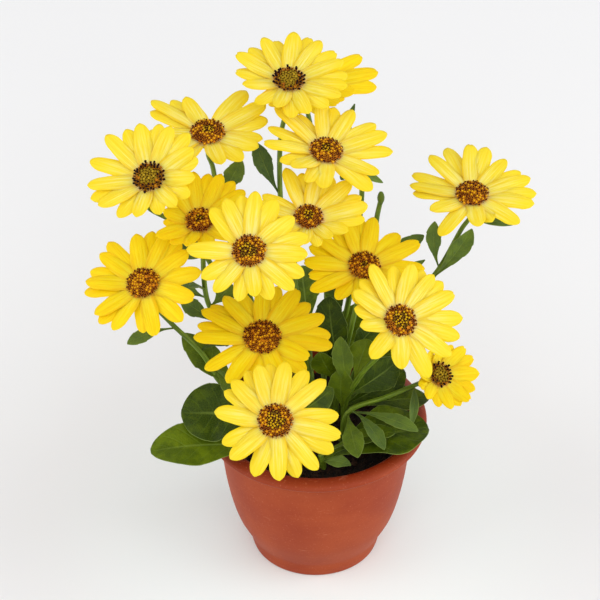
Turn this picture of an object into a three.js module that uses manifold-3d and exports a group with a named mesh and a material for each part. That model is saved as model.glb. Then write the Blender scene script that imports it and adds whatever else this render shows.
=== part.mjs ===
// Osteospermum in its round pot. Millimetres, +Z up, origin at the centre of the pot's base.
import * as THREE from 'three';
import Module from 'manifold-3d';

const wasm = await Module();
wasm.setup();
const { Manifold, Mesh } = wasm;

// Driving dimensions
const gap = 0.3; // air left between neighbouring bodies
const potSides = 30;
const rimRadius = 60;
const potHeight = 86.6;
const soilLevel = 74.5;
const stemFoot = 60; // height at which the buried end of a stem stops
const stemSides = 5;
const petalThick = 0.7;
const petalHalf = 4.1;
const hubRadius = 6.8; // where the petals leave the receptacle
const rankLow = -0.85; // mid height of the lower rank of petals
const rankHigh = 0.45;
const leafThick = 0.8;
const cupTop = rankLow - petalThick / 2 - gap;

const rad = THREE.MathUtils.degToRad;
const vec = (x, y, z) => new THREE.Vector3(x, y, z);
const hash = (n) => {
  const s = Math.sin(n * 12.9898) * 43758.5453;
  return s - Math.floor(s);
};

// Closed body from points and triangles that all turn the same way.
function solid(points, tris) {
  const volume = tris.reduce((sum, [a, b, c]) =>
    sum + points[a].dot(points[b].clone().cross(points[c])), 0);
  const facing = volume > 0 ? tris : tris.map(([a, b, c]) => [a, c, b]);
  return new Manifold(new Mesh({
    numProp: 3,
    vertProperties: new Float32Array(points.flatMap((p) => p.toArray())),
    triVerts: new Uint32Array(facing.flat()),
  }));
}

// Triangles of a strip between two rows of n points each; the rows start at index a and b.
// A blade lists its upper points, then its lower points backwards, and is cut alike on both faces.
function strip(a, b, n, blade) {
  return Array.from({ length: n }, (_, j) => {
    const k = (j + 1) % n;
    const mirrored = blade && j >= n / 2 - 1 && j < n - 1;
    return mirrored ? [[a + j, a + k, b + j], [a + k, b + k, b + j]]
      : [[a + j, a + k, b + k], [a + j, b + k, b + j]];
  }).flat();
}

const fan = (first, n) => Array.from({ length: n - 2 }, (_, j) => [first, first + j + 1, first + j + 2]);

// Closed body from rings of equal length, the first and last closed by a fan.
function skin(rings, blade = false) {
  const n = rings[0].length;
  const last = (rings.length - 1) * n;
  const tris = rings.slice(1).flatMap((_, i) => strip(i * n, (i + 1) * n, n, blade));
  return solid(rings.flat(),
    [...tris, ...fan(0, n).map(([a, b, c]) => [a, c, b]), ...fan(last, n)]);
}

const fuse = (bodies) => bodies.reduce((whole, body) => whole.add(body));

const circle = (radius, z, sides) => Array.from({ length: sides }, (_, j) => {
  const a = (2 * Math.PI * j) / sides;
  return vec(radius * Math.cos(a), radius * Math.sin(a), z);
});

const turned = (profile, sides) => skin(profile.map(([r, z]) => circle(r, z, sides)));

const post = (x, y, profile, sides) => skin(profile.map(([r, z]) =>
  circle(r, z, sides).map((p) => p.add(vec(x, y, 0)))));

const group = new THREE.Group();
function place(name, body, color, roughness) {
  const { vertProperties, triVerts } = body.getMesh();
  const geometry = new THREE.BufferGeometry();
  geometry.setAttribute('position', new THREE.Float32BufferAttribute(vertProperties, 3));
  geometry.setIndex(Array.from(triVerts));
  geometry.computeVertexNormals();
  const material = new THREE.MeshStandardMaterial({ color, roughness, metalness: 0 });
  const mesh = new THREE.Mesh(geometry, material);
  mesh.name = name;
  group.add(mesh);
}

// Pot: a short foot, a flaring bowl and a collar that overhangs it, with holes in the floor.
const potWall = [[33.8, 0], [35.3, 6], [37.3, 12], [40.2, 17.5], [43.2, 24], [46.2, 35],
  [48.9, 49], [50.6, 64], [51.6, 78], [rimRadius - 0.8, 81.4], [rimRadius, 83], [57.4, 85.4],
  [54, potHeight], [52.4, 86], [50.2, 78], [44.6, 35], [41.6, 24], [34.8, 11.5], [33.2, 4]];
const drains = { count: 5, ring: 21, radius: 3.6, sides: 8 };
let pot = turned(potWall, potSides);
for (let k = 0; k < drains.count; k++) {
  const a = (2 * Math.PI * k) / drains.count;
  pot = pot.subtract(post(drains.ring * Math.cos(a), drains.ring * Math.sin(a),
    [[drains.radius, -1], [drains.radius, 6]], drains.sides));
}
place('pot', pot, 0xb05a3f, 0.62);

// Frame of a bloom: its centre in the plane of the petals, its two axes in that plane and its normal.
function frameOf({ at, lean, toward }) {
  const n = vec(Math.sin(rad(lean)) * Math.cos(rad(toward)),
    Math.sin(rad(lean)) * Math.sin(rad(toward)), Math.cos(rad(lean)));
  const ex = vec(0, 1, 0).cross(n).normalize();
  const ey = n.clone().cross(ex);
  return (r, angle, w) => vec(...at)
    .addScaledVector(ex, r * Math.cos(angle))
    .addScaledVector(ey, r * Math.sin(angle))
    .addScaledVector(n, w);
}

// Blooms, from the top of the plant down. rays holds the bearing and the reach of each petal;
// via holds the points a stem passes on its way from root to flower; young discs are green inside.
// A leaf starts at height along its stem (0 to 1) and ends at tip; face is where its top looks.
const blooms = [
  { id: 1, tone: 'lemon', at: [-14, 43, 275], lean: 13, toward: -90, rise: 4, disc: 7.8, young: true,
    rays: [[87, 31], [71, 32], [57, 31], [40, 31], [24, 31], [8, 31], [350, 31], [333, 30],
      [314, 28], [295, 27], [274, 27], [250, 22], [224, 25], [190, 25], [168, 29], [153, 32], [133, 31],
      [118, 31], [103, 29]],
    root: [-6, 18], via: [[-10, 34, 110], [-16, 48, 160], [-19, 51, 200], [-18, 47, 240]],
    leaves: [{ along: 0.1, tip: [-36, 40, 110], wide: 16, face: [0, -0.6, 0.8] },
      { along: 0.62, tip: [-32, 50, 230], wide: 10.5, face: [0.2, -1, 0.4] }] },
  { id: 2, tone: 'gold', at: [-3, 74, 249], lean: 10, toward: -60, rise: 0, disc: 7.6,
    rays: [[72, 29], [46, 38], [29, 40], [20, 39], [8, 36], [351, 24], [334, 20], [314, 20],
      [286, 22], [250, 24], [215, 27], [180, 29], [146, 30], [108, 28]],
    root: [4, 24], via: [[6, 44, 115], [5, 64, 165], [-1, 76, 213]],
    leaves: [{ along: 0.1, tip: [26, 42, 110], wide: 16, face: [0, -0.6, 0.8] },
      { along: 0.68, tip: [20.5, 72, 239], wide: 8, face: [0, -1, 0.3] }] },
  { id: 3, tone: 'lemon', at: [-56, 20, 258], lean: 10, toward: -90, rise: 0, disc: 8.6,
    rays: [[60, 39], [33, 36], [18, 33], [350, 29], [338, 29], [310, 27], [285, 25], [237, 33],
      [218, 31], [198, 30], [180, 31], [152, 35], [140, 38], [127, 31], [113, 27]],
    root: [-12, 12], via: [[-24, 24, 110], [-42, 32, 165], [-51, 32, 205], [-54, 27, 232]],
    leaves: [{ along: 0.74, tip: [-39, 24, 238], wide: 11, face: [0, -1, 0.3] }] },
  { id: 4, tone: 'lemon', at: [5, 8, 255], lean: 14, toward: -60, rise: 4, disc: 8.4,
    rays: [[66, 32], [42, 34], [23, 34], [4, 35], [334, 31], [316, 34], [270, 28], [245, 25],
      [225, 24], [205, 26], [178, 33], [158, 33], [136, 38], [122, 28], [98, 35], [82, 31]],
    root: [8, 12], via: [[12, 22, 110], [20, 26, 160], [23, 27, 195], [23, 25, 226], [14, 18, 241]],
    leaves: [{ along: 0.14, tip: [24, 27, 141], wide: 16, face: [-0.1, -1, 0.1] },
      { along: 0.12, tip: [-4, 25, 134], wide: 16, face: [0.1, -1, 0.2] },
      { along: 0.25, tip: [7, 26, 166], wide: 12, face: [0.1, -1, 0.1] },
      { along: 0.85, tip: [13, 24, 225], wide: 4, face: [0, -1, 0.6] },
      { along: 0.86, tip: [35, 19, 227], wide: 4.4, face: [0, -1, 0.6] }] },
  { id: 5, tone: 'lemon', at: [-85, -21, 260], lean: 30, toward: -110, rise: 6, disc: 7.8, young: true,
    rays: [[96, 30], [109, 30], [129, 33], [152, 33], [181, 32], [191, 32], [204, 30], [227, 27],
      [250, 24], [279, 23], [300, 24], [322, 25], [348, 25], [8, 27], [25, 27], [42, 31], [60, 29],
      [77, 30]],
    root: [-18, 4], via: [[-30, 8, 105], [-48, 12, 160], [-62, 10, 194], [-74, 5, 212],
      [-87, -3, 228], [-86, -9, 241]],
    leaves: [] },
  { id: 6, tone: 'gold', at: [-60, -13, 226], lean: 20, toward: -100, rise: 10, disc: 7,
    rays: [[94, 28], [80, 28], [65, 28], [50, 28], [30, 28], [8, 27], [345, 26], [320, 24],
      [290, 20], [252, 18], [222, 21], [203, 25], [180, 19], [160, 20], [140, 24],
      [124, 26], [109, 28]],
    root: [-14, 2], via: [[-26, 2, 108], [-46, -1, 140], [-57, -5, 168], [-59, -3, 200]],
    leaves: [{ along: 0.66, tip: [-72, 4, 172], wide: 10, face: [-0.2, -1, 0.7] },
      { along: 0.52, tip: [-71, 2, 163], wide: 10, face: [0, -1, 0.4] },
      { along: 0.7, tip: [-66, -14, 184], wide: 7, face: [-0.5, -0.6, 0.7] },
      { along: 0.62, tip: [-44, -3, 177], wide: 12, face: [0.2, -1, 0.5] },
      { along: 0.82, tip: [-74, -8, 206], wide: 8, face: [0, -0.7, 0.8] }] },
  { id: 7, tone: 'lemon', at: [-4, -22, 235], lean: 18, toward: -70, rise: 6, disc: 7.2,
    rays: [[116, 31], [98, 27], [84, 28], [68, 29], [45, 31], [29, 31], [14, 31], [0, 29],
      [338, 22], [310, 18], [283, 19], [260, 19], [236, 22], [212, 25], [190, 28], [172, 30],
      [154, 27]],
    root: [2, 6], via: [[-4, 8, 110], [-10, 5, 160], [-11, 4, 195], [-7, -8, 214]],
    leaves: [{ along: 0.14, tip: [-20, 16, 134], wide: 16, face: [-0.2, -1, 0.6] }] },
  { id: 8, tone: 'lemon', at: [-34, -59, 242], lean: 35, toward: -95, rise: 0, disc: 8.3,
    rays: [[83, 32], [96, 31], [110, 31], [128, 31], [175, 32], [206, 28], [229, 28],
      [254, 27], [272, 25], [292, 28], [316, 31], [334, 31], [353, 30], [14, 31], [38, 29],
      [62, 31]],
    root: [-4, -2], via: [[-10, 4, 110], [-20, 11, 150], [-27, 9, 180], [-28, -10, 202],
      [-29, -30, 216], [-32, -46, 227]],
    leaves: [] },
  { id: 9, tone: 'lemon', at: [81, 11, 225], lean: 10, toward: -90, rise: 0, disc: 8.4,
    rays: [[106, 39], [92, 36], [77, 37], [53, 30], [35, 31], [20, 33], [1, 34], [352, 33],
      [318, 32], [297, 22], [274, 24], [240, 33], [212, 26], [179, 31], [170, 33], [152, 35],
      [127, 35]],
    root: [14, 14], via: [[24, 18, 108], [44, 18, 140], [64, 17, 170], [77, 13, 203]],
    leaves: [{ along: 0.16, tip: [50, 18, 118], wide: 16, face: [-0.1, -1, 0.8] },
      { along: 0.68, tip: [62, 14, 205], wide: 9, face: [-0.3, -1, 0.3] },
      { along: 0.62, tip: [81.5, 10, 203], wide: 12, face: [0.3, -1, 0.3] },
      { along: 0.92, tip: [103, 12, 205], wide: 5, face: [0, -0.6, 1] }] },
  { id: 10, tone: 'gold', at: [-89, -32, 200], lean: 28, toward: -115, rise: 0, disc: 8.3,
    rays: [[93, 29], [77, 31], [58, 31], [44, 30], [30, 29], [5, 31], [334, 30], [307, 31],
      [277, 32], [263, 28], [233, 30], [216, 31], [204, 30], [176, 32], [165, 31], [152, 31],
      [135, 30], [120, 33]],
    root: [-20, -6], via: [[-32, -9, 98], [-50, -10.5, 116], [-60, -15, 140.3], [-76, -20, 165],
      [-84, -21, 177]],
    leaves: [{ along: 0.56, tip: [-43, -14, 157], wide: 13, face: [0, -1, 0.6] },
      { along: 0.72, tip: [-98, -36, 164], wide: 8.4, face: [-0.2, -0.6, 1] },
      { along: 0.46, tip: [-40, -28, 124], wide: 12, face: [0, -1, 1] },
      { along: 0.2, tip: [-70, -7, 147], wide: 16, face: [0, -1, 0.6] }] },
  { id: 11, tone: 'gold', at: [25, -11, 195], lean: 22, toward: -80, rise: 0, disc: 8,
    rays: [[80, 30], [93, 29], [108, 29], [126, 28], [148, 30], [163, 31], [177, 32], [194, 30],
      [211, 33], [238, 25], [262, 24], [286, 24], [310, 25], [334, 28], [4, 32], [27, 33], [46, 28]],
    root: [10, 8], via: [[14, 9, 110], [20, 3, 150]],
    leaves: [{ along: 0.28, tip: [7, 10, 158], wide: 20, face: [-0.3, -1, 0.3] },
      { along: 0.36, tip: [33, 10, 141], wide: 15, face: [0.3, -1, 0.4] },
      { along: 0.2, tip: [2, 3, 126], wide: 16, face: [-0.4, -1, 0.6] }] },
  { id: 12, tone: 'gold', at: [-28, -33, 165], lean: 22, toward: -90, rise: 0, disc: 9.6,
    rays: [[112, 31], [127, 32], [141, 34], [155, 36], [168, 35], [182, 36], [210, 35], [235, 33],
      [262, 30], [290, 29], [318, 31], [335, 28], [354, 37], [6, 36], [22, 35], [40, 33], [57, 34],
      [73, 33], [91, 32]],
    root: [-10, -10], via: [[-14, -12, 100], [-24, -22, 138]],
    leaves: [{ along: 0.18, tip: [9, -15, 116], wide: 14, face: [-0.3, -1, 0.5] }] },
  { id: 13, tone: 'lemon', at: [43, -50, 190], lean: 40, toward: -70, rise: 0, disc: 8.2,
    rays: [[126, 33], [146, 30], [160, 29], [176, 25], [204, 22], [246, 26], [283, 26], [308, 33],
      [340, 32], [359, 33], [15, 34], [37, 33], [54, 32], [65, 31], [76, 31], [90, 31], [108, 30]],
    root: [15, 2], via: [[16, -1, 95], [24, -14, 125], [34, -33, 155], [40, -42, 174]],
    leaves: [{ along: 0.08, tip: [14, -6, 122], wide: 14, face: [-0.2, -1, 0.2] },
      { along: 0.12, tip: [48, 11, 107], wide: 19, face: [0, -1, 0.1] },
      { along: 0.2, tip: [44, 11, 114], wide: 20, face: [-0.1, -1, 0.1] },
      { along: 0.1, tip: [61, 9, 90], wide: 16, face: [0, -0.3, 1] },
      { along: 0.18, tip: [13, -4, 142], wide: 12, face: [-0.2, -1, 0.3] },
      { along: 0.3, tip: [28, 2, 136], wide: 16, face: [-0.4, -1, 0.5] }] },
  { id: 14, tone: 'lemon', at: [-21, -80, 148], lean: 38, toward: -90, rise: 0, disc: 8.8,
    rays: [[81, 32], [95, 31], [108, 31], [121, 31], [136, 31], [152, 31], [174, 32], [204, 30],
      [220, 31], [252, 31], [276, 32], [291, 32], [311, 34], [331, 34], [349, 35], [8, 33],
      [40, 34], [60, 32]],
    root: [-4, -26], via: [[-6, -30, 92], [-14, -48, 116], [-20, -66, 134]],
    leaves: [] },
  { id: 15, tone: 'gold', at: [66, 4, 110], lean: 45, toward: -50, rise: 14, disc: 6, young: true,
    rays: [[0, 21], [24, 22], [48, 22], [70, 21], [92, 18], [116, 16], [140, 14], [164, 13],
      [188, 13], [212, 14], [236, 16], [258, 18], [280, 19], [300, 20], [320, 20], [340, 21]],
    root: [14, -8], via: [[18, -7, 94], [38, -3.5, 101], [52, 4, 102.4]],
    leaves: [{ along: 0.22, tip: [54, -32, 101.8], wide: 9, face: [0.1, -0.3, 1] },
      { along: 0.2, tip: [22, -48, 97], wide: 12, face: [-0.2, -0.2, 1] },
      { along: 0.24, tip: [36, -46, 101], wide: 9, face: [0.1, -0.2, 1] },
      { along: 0.72, tip: [51, -22, 96.4], wide: 5, face: [0, -1, 0.2] }] },
];

// Shoots without a flower: the leafy ones that hide the soil, and one spent flower stalk.
const shoots = [
  { id: 'front', root: [4, -31], via: [[3.5, -31.5, 80.5], [2.5, -31, 84]], thick: 1.7,
    leaves: [{ along: 0.6, tip: [60, -19, 93.2], wide: 38, face: [0, -0.03, 1] },
      { along: 0.97, tip: [42, -27, 96.5], wide: 15, face: [0, 0, 1] },
      { along: 0.4, tip: [18.5, -40, 84.5], wide: 8, face: [0, -0.3, 1] }] },
  { id: 'left', root: [-19, -29], via: [[-22, -32, 83], [-26, -26, 92], [-28, -18, 100]], thick: 1.8,
    leaves: [{ along: 0.4, tip: [-87, -44, 97.5], wide: 27, face: [0, -0.3, 1] },
      { along: 0.97, tip: [-71, -29, 111], wide: 32, face: [-0.1, -0.8, 0.9] }] },
  { id: 'back', root: [-2, 34], via: [[-3, 42, 88], [-4, 50, 104]], thick: 1.8,
    leaves: [{ along: 0.6, tip: [-44, 62, 100], wide: 20, face: [0, 0.3, 1] },
      { along: 0.75, tip: [38, 66, 104], wide: 22, face: [0, 0.3, 1] },
      { along: 0.97, tip: [-8, 92, 116], wide: 20, face: [0, -0.3, 1] }] },
  { id: 'spent', root: [20, 22], via: [[27, 30, 120], [31, 31, 170], [32, 27, 197], [34, 22, 214]],
    thick: 1.6, cap: 1.9,
    leaves: [{ along: 0.62, tip: [57, 30, 184], wide: 9, face: [0, -1, 0.8] },
      { along: 0.5, tip: [58, 32, 166], wide: 7, face: [0, -1, 0.6] }] },
];

// Rays: one closed sheet per bloom, a hub whose rim runs out into petals on two levels in turn.
// Petals on the same level keep apart sideways; the upper ones rise a little and the lower ones sink.
const petalRows = [[0.4, 0.88], [0.76, 1], [1, 0.48]]; // share of reach, share of width
function raysBody(place3, { id, rays, rise, disc }) {
  const sorted = rays.toSorted((p, q) => p[0] - q[0]);
  const count = sorted.length;
  const turn = (i, k) => {
    const full = Math.abs(sorted[(i + count) % count][0] - sorted[(k + count) % count][0]);
    return rad(Math.min(full, 360 - full));
  };
  const points = [place3(0, 0, rankHigh + petalThick / 2), place3(0, 0, rankLow - petalThick / 2)];
  const tris = [];
  const rowsOf = petalRows.length + 1;
  sorted.forEach(([angle, reach], i) => {
    const seed = hash(id * 31 + i);
    const half = petalHalf * (0.92 + 0.16 * seed) * (reach < 20 ? 0.75 : 1);
    const room = Math.min(turn(i, i - 2), turn(i, i + 2)) / 2;
    const rows = petalRows.map(([s, share]) => {
      const r = hubRadius + (reach - hubRadius) * s;
      return [r, Math.min((half * share) / r, room - 0.15 / r)];
    });
    rows.unshift([hubRadius, 0.45 * Math.min(turn(i, i - 1), turn(i, i + 1))]);
    const first = points.length;
    for (const [r, swing] of rows) {
      const far = (r - hubRadius) / 25;
      const level = i % 2 ? rankHigh + seed * far * far : rankLow - (0.3 + 0.9 * seed) * far * far;
      const bow = Math.max(0, r - disc) * Math.tan(rad(rise)) + 1.3 * Math.sin(2.4 * far);
      for (const [side, face] of [[1, 1], [-1, 1], [-1, -1], [1, -1]]) {
        points.push(place3(r / Math.cos(swing), rad(angle) + side * swing,
          level + bow + (face * petalThick) / 2));
      }
    }
    for (let k = 1; k < rowsOf; k++) tris.push(...strip(first + 4 * k - 4, first + 4 * k, 4, true));
    tris.push(...fan(first + 4 * rowsOf - 4, 4));
    const [a, b, c, d] = [first, first + 1, first + 2, first + 3];
    const next = 2 + ((i + 1) % count) * 4 * rowsOf;
    tris.push([0, b, a], [0, a, next + 1], [1, d, c], [1, next + 2, d],
      [a, d, next + 2], [a, next + 2, next + 1]);
  });
  return solid(points, tris);
}

// Disc of florets: a low dome with bumps in staggered rings; a young one sinks in the middle.
const discSides = 10;
function discBody(place3, { disc, young }) {
  const foot = rankHigh + petalThick / 2 + 0.35 + gap;
  const bump = 0.5;
  const rows = young
    ? [[0.95, 0, 0], [1, 0.9, 0], [0.86, 2.6, 1], [0.62, 2.7, -1], [0.25, 2.2, 0]]
    : [[0.95, 0, 0], [1, 0.9, 0], [0.85, 2.4, 1], [0.6, 3.2, -1], [0.27, 3.6, 1]];
  return skin(rows.map(([share, w, sign]) => Array.from({ length: discSides }, (_, j) => {
    const up = foot + w + sign * bump * (j % 2 ? 1 : -1);
    return place3(disc * share, (2 * Math.PI * j) / discSides, up);
  })));
}

// Leaf: a toothed spatula, narrow where it leaves the stem; a broad one is folded along its midrib
// and a small one is a plain lance. Rows: share of length, share of width.
const broadRows = [[0, 0.1], [0.22, 0.4], [0.44, 0.84], [0.51, 0.8], [0.7, 1], [0.9, 0.7], [1, 0.12]];
const leafRows = [[0, 0.08], [0.3, 0.26], [0.56, 0.84], [0.64, 0.76], [0.82, 0.98], [1, 0.16]];
const lanceRows = [[0, 0.16], [0.35, 0.6], [0.65, 1], [1, 0.16]];
const broad = 16;
const small = 8;
const fold = 0.14;
function leaf(start, { tip, wide, face }) {
  const axis = vec(...tip).sub(start);
  const side = axis.clone().cross(vec(...face)).normalize();
  const up = side.clone().cross(axis).normalize();
  const arch = axis.length() * 0.07;
  const rows = wide > broad ? broadRows : wide > small ? leafRows : lanceRows;
  const corners = wide > broad ? [[-1, 1], [0, 1], [1, 1], [1, -1], [0, -1], [-1, -1]]
    : [[-1, 1], [1, 1], [1, -1], [-1, -1]];
  return skin(rows.map(([s, share]) => {
    const half = Math.max(0.5, (wide / 2) * share);
    const mid = start.clone().addScaledVector(axis, s)
      .addScaledVector(up, arch * Math.sin(Math.PI * s));
    return corners.map(([across, top]) => mid.clone().addScaledVector(side, across * half)
      .addScaledVector(up, (wide > broad ? Math.abs(across) * half * fold : 0) + (top * leafThick) / 2));
  }), true);
}

// Stem: a tube that stands upright in the soil, then follows a smooth curve, with its leaves.
const holes = [];
function leafyStem({ root: [x, y], via, leaves }, end, radiusAt) {
  const curve = new THREE.CatmullRomCurve3(
    [vec(x, y, soilLevel + 3), ...via.map((p) => vec(...p)), ...end], false, 'centripetal');
  const spans = 2 + Math.round(curve.getLength() / 40);
  const centres = [vec(x, y, stemFoot), ...curve.getSpacedPoints(spans)];
  const normal = vec(1, 0, 0);
  const rings = centres.map((centre, i) => {
    const ahead = centres[Math.min(i + 1, spans + 1)].clone().sub(centres[Math.max(i - 1, 0)]);
    const along = i ? ahead.normalize() : vec(0, 0, 1);
    normal.addScaledVector(along, -normal.dot(along)).normalize();
    const across = along.clone().cross(normal);
    const r = radiusAt(i / (spans + 1));
    return Array.from({ length: stemSides }, (_, j) => {
      const a = (2 * Math.PI * j) / stemSides;
      return centre.clone().addScaledVector(normal, r * Math.cos(a))
        .addScaledVector(across, r * Math.sin(a));
    });
  });
  holes.push([x, y, radiusAt(0)]);
  return [skin(rings), ...leaves.map((l) => {
    const i = Math.floor(l.along * spans);
    return leaf(centres[i + 1].clone().lerp(centres[i + 2], l.along * spans - i), l);
  })];
}

const cupSides = 6;
const cupRows = [[1.3, -9.5], [5, -6.8], [6.4, cupTop]];
const tones = { gold: 0xf2d00a, lemon: 0xf5dc48 };
for (const bloom of blooms) {
  const place3 = frameOf(bloom);
  const label = String(bloom.id).padStart(2, '0');
  place(`rays_${label}`, raysBody(place3, bloom), tones[bloom.tone], 0.5);
  place(`disc_${label}`, discBody(place3, bloom), bloom.young ? 0x6f6418 : 0x8a4a12, 0.75);

  const cup = skin(cupRows.map(([r, w]) => Array.from({ length: cupSides }, (_, j) =>
    place3(r * Math.min(1, bloom.disc / 7.4), (2 * Math.PI * j) / cupSides, w))));
  const end = [place3(0, 0, -16), place3(0, 0, -5)];
  const stem = leafyStem(bloom, end, (t) => 1.6 - 0.4 * t);
  place(`stem_${label}`, fuse([cup, ...stem]), 0x4f6410, 0.6);
}

for (const shoot of shoots) {
  const { id, via, thick, cap } = shoot;
  const bodies = leafyStem(shoot, [], (t) => thick - 0.3 * t);
  if (cap) {
    const [x, y, z] = via.at(-1);
    bodies.push(post(x, y, [[cap * 0.5, z - 3], [cap, z], [cap, z + 3], [cap * 0.6, z + 5]], 8));
  }
  place(`shoot_${id}`, fuse(bodies), 0x46590f, 0.6);
}

// Soil fills the pot to below the rim, lightly bumpy, with a plain hole for every stem.
const soilWall = [[32.7, 4 + gap], [34.3, 11.7], [41, 24.2], [44.2, 35.1], [49.2, soilLevel - 1]];
const soilTop = [[45, 0], [28, 1], [7, 1.2]];
let soil = skin([
  ...soilWall.map(([r, z]) => circle(r, z, potSides)),
  ...soilTop.map(([r, rise], i) => circle(r, soilLevel + rise - 1, potSides).map((p, j) =>
    p.add(vec(0, 0, hash(i * 40 + j) * 0.9)))),
]);
for (const [x, y, radius] of holes) {
  const clear = (radius + gap + 0.05) * 1.16;
  soil = soil.subtract(post(x, y, [[clear, stemFoot - gap], [clear, soilLevel + 4]], 6));
}
place('soil', soil, 0x1c130e, 0.95);

export default group;
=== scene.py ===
# Potted osteospermum: fine petals, florets, stalks, leaves, pot and soil around the fixed model.
from math import cos, sin, tan, pi, radians

import bpy
import numpy as np
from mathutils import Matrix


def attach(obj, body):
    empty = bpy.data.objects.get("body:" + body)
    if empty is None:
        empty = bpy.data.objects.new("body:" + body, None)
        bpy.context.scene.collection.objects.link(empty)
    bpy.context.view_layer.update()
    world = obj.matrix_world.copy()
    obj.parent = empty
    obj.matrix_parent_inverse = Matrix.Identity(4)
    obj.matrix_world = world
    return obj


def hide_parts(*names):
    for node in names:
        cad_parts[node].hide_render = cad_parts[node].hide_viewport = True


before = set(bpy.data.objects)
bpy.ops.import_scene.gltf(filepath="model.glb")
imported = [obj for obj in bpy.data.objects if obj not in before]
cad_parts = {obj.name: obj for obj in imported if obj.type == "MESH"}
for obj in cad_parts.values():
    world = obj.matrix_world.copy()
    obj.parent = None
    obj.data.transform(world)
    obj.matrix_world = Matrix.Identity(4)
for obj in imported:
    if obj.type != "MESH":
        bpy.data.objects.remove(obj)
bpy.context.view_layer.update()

mm = 0.001
draw = np.random.default_rng(11)  # every loose random draw comes from here, in this order


def hashOf(n):  # fraction of sin(12.9898 n) * 43758.5453, the draw that the solids use too
    s = np.sin(np.asarray(n, float) * 12.9898) * 43758.5453
    return s - np.floor(s)


def ramp(x, low, high):  # 0 up to low, 1 from high on, a smooth S between; either may be the larger
    u = np.clip((np.asarray(x, float) - low) / (high - low), 0, 1)
    return u * u * (3 - 2 * u)


def bell(x, middle, width):  # 1 at the middle, falling off as exp of minus the square of the way out
    return np.exp(-((x - middle) / width) ** 2)


def unit(v):  # vectors divided by their length
    return v / np.maximum(np.linalg.norm(v, axis=-1, keepdims=True), 1e-9)


def together(*numbers):  # arrays spread to one shape and stacked as the numbers of a vector
    return np.stack(np.broadcast_arrays(*numbers), -1)


def bearings(sides):  # equal steps round a circle
    return np.linspace(0, 2 * pi, sides, endpoint=False)


def turned(out, aside, angle):  # x and y of points so far out along a bearing and so far aside of it
    return out * np.cos(angle) - aside * np.sin(angle), out * np.sin(angle) + aside * np.cos(angle)


def around(radius, height, angle):  # points at a radius, height and bearing round the upright axis
    return together(radius * np.cos(angle), radius * np.sin(angle), height)


def columnsOf(rows):  # the first, second and third numbers of all rows, each as a column
    return np.array(rows, float).T[..., None]


def gridQuads(rows, cols, closed=False):  # corners of every cell of a grid, joined round when closed
    i, j = np.mgrid[0:rows - 1, 0:cols if closed else cols - 1]
    k = (j + 1) % cols
    return np.stack([i * cols + j, i * cols + k, (i + 1) * cols + k, (i + 1) * cols + j],
                    -1).reshape(-1, 4)


def shellQuads(rows, cols):  # upper sheet, lower sheet turned over, and a wall along their rim
    n = rows * cols
    upper = gridQuads(rows, cols)
    at = np.arange(n).reshape(rows, cols)
    rim = np.concatenate([at[0, :-1], at[:-1, -1], at[-1, :0:-1], at[:0:-1, 0]])
    ahead = np.roll(rim, -1)
    wall = np.stack([ahead, rim, rim + n, ahead + n], -1)
    return np.concatenate([upper, upper[:, ::-1] + n, wall])


def outward(points, quads):  # turns all faces round when the volume they enclose is negative
    a, b, c, d = (points[quads[:, k]] for k in range(4))
    volume = np.sum(a * np.cross(b, c)) + np.sum(a * np.cross(c, d))
    return quads if volume > 0 else quads[:, ::-1]


def repeated(faces, count, size):  # the faces of one copy, for count copies of size points each
    return (faces[None] + (np.arange(count) * size)[:, None, None]).reshape(-1, faces.shape[-1])


def shells(upper, lower, spot):  # pairs of sheets (pair, row, column, xyz), closed at their rims
    count, rows, cols = upper.shape[:3]
    points = np.stack([upper, lower], 1).reshape(-1, 3)
    quads = repeated(shellQuads(rows, cols), count, 2 * rows * cols)
    return points, outward(points, quads), spot.reshape(-1, 3), []


def lathe(rows, spot):  # rings of points (row, column, xyz) joined all round, with a flat end on each
    count, sides = rows.shape[:2]
    points = rows.reshape(-1, 3)
    quads = outward(points, gridQuads(count, sides, True))
    flipped = quads[0][1] != (quads[0][0] + 1) % sides
    end = np.arange(sides)[::1 if flipped else -1]
    caps = [end.tolist(), ((count - 1) * sides + end[::-1]).tolist()]
    return points, quads, np.broadcast_to(spot, (count, sides, 3)).reshape(-1, 3), caps


def tufts(points, shape, spot):  # copies (copy, ring, side, xyz) of one shape, each with a flat top
    count, rows, sides = points.shape[:3]
    size = rows * sides
    quads = outward(shape.reshape(-1, 3), gridQuads(rows, sides, True))
    top = np.arange(size - sides, size)[None]
    return (points.reshape(-1, 3), repeated(quads, count, size), spot.reshape(-1, 3),
            repeated(top, count, size).tolist())


def placed(name, data):  # a new object in the scene
    thing = bpy.data.objects.new(name, data)
    bpy.context.scene.collection.objects.link(thing)
    return thing


def addPiece(name, node, slotName, parts):
    # One mesh from all parts, each a material with its (points, quads, spot, caps), in millimetres
    materials = list(dict.fromkeys(material for material, part in parts))
    faces, places, offset = [], [], 0
    for material, (points, quads, spot, caps) in parts:
        added = (quads + offset).tolist() + [[k + offset for k in cap] for cap in caps]
        faces += added
        places += [materials.index(material)] * len(added)
        offset += len(points)
    mesh = bpy.data.meshes.new(name)
    mesh.from_pydata((np.concatenate([part[0] for _, part in parts]) * mm).tolist(), [], faces)
    spots = np.concatenate([part[2] for _, part in parts]).astype(np.float32)
    mesh.attributes.new("spot", "FLOAT_VECTOR", "POINT").data.foreach_set("vector", spots.ravel())
    mesh.polygons.foreach_set("use_smooth", np.ones(len(faces), bool))
    mesh.polygons.foreach_set("material_index", np.array(places, np.int32))
    for material in materials:
        mesh.materials.append(material)
    piece = placed(name, mesh)
    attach(piece, "root")
    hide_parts(node)
    return piece


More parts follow.
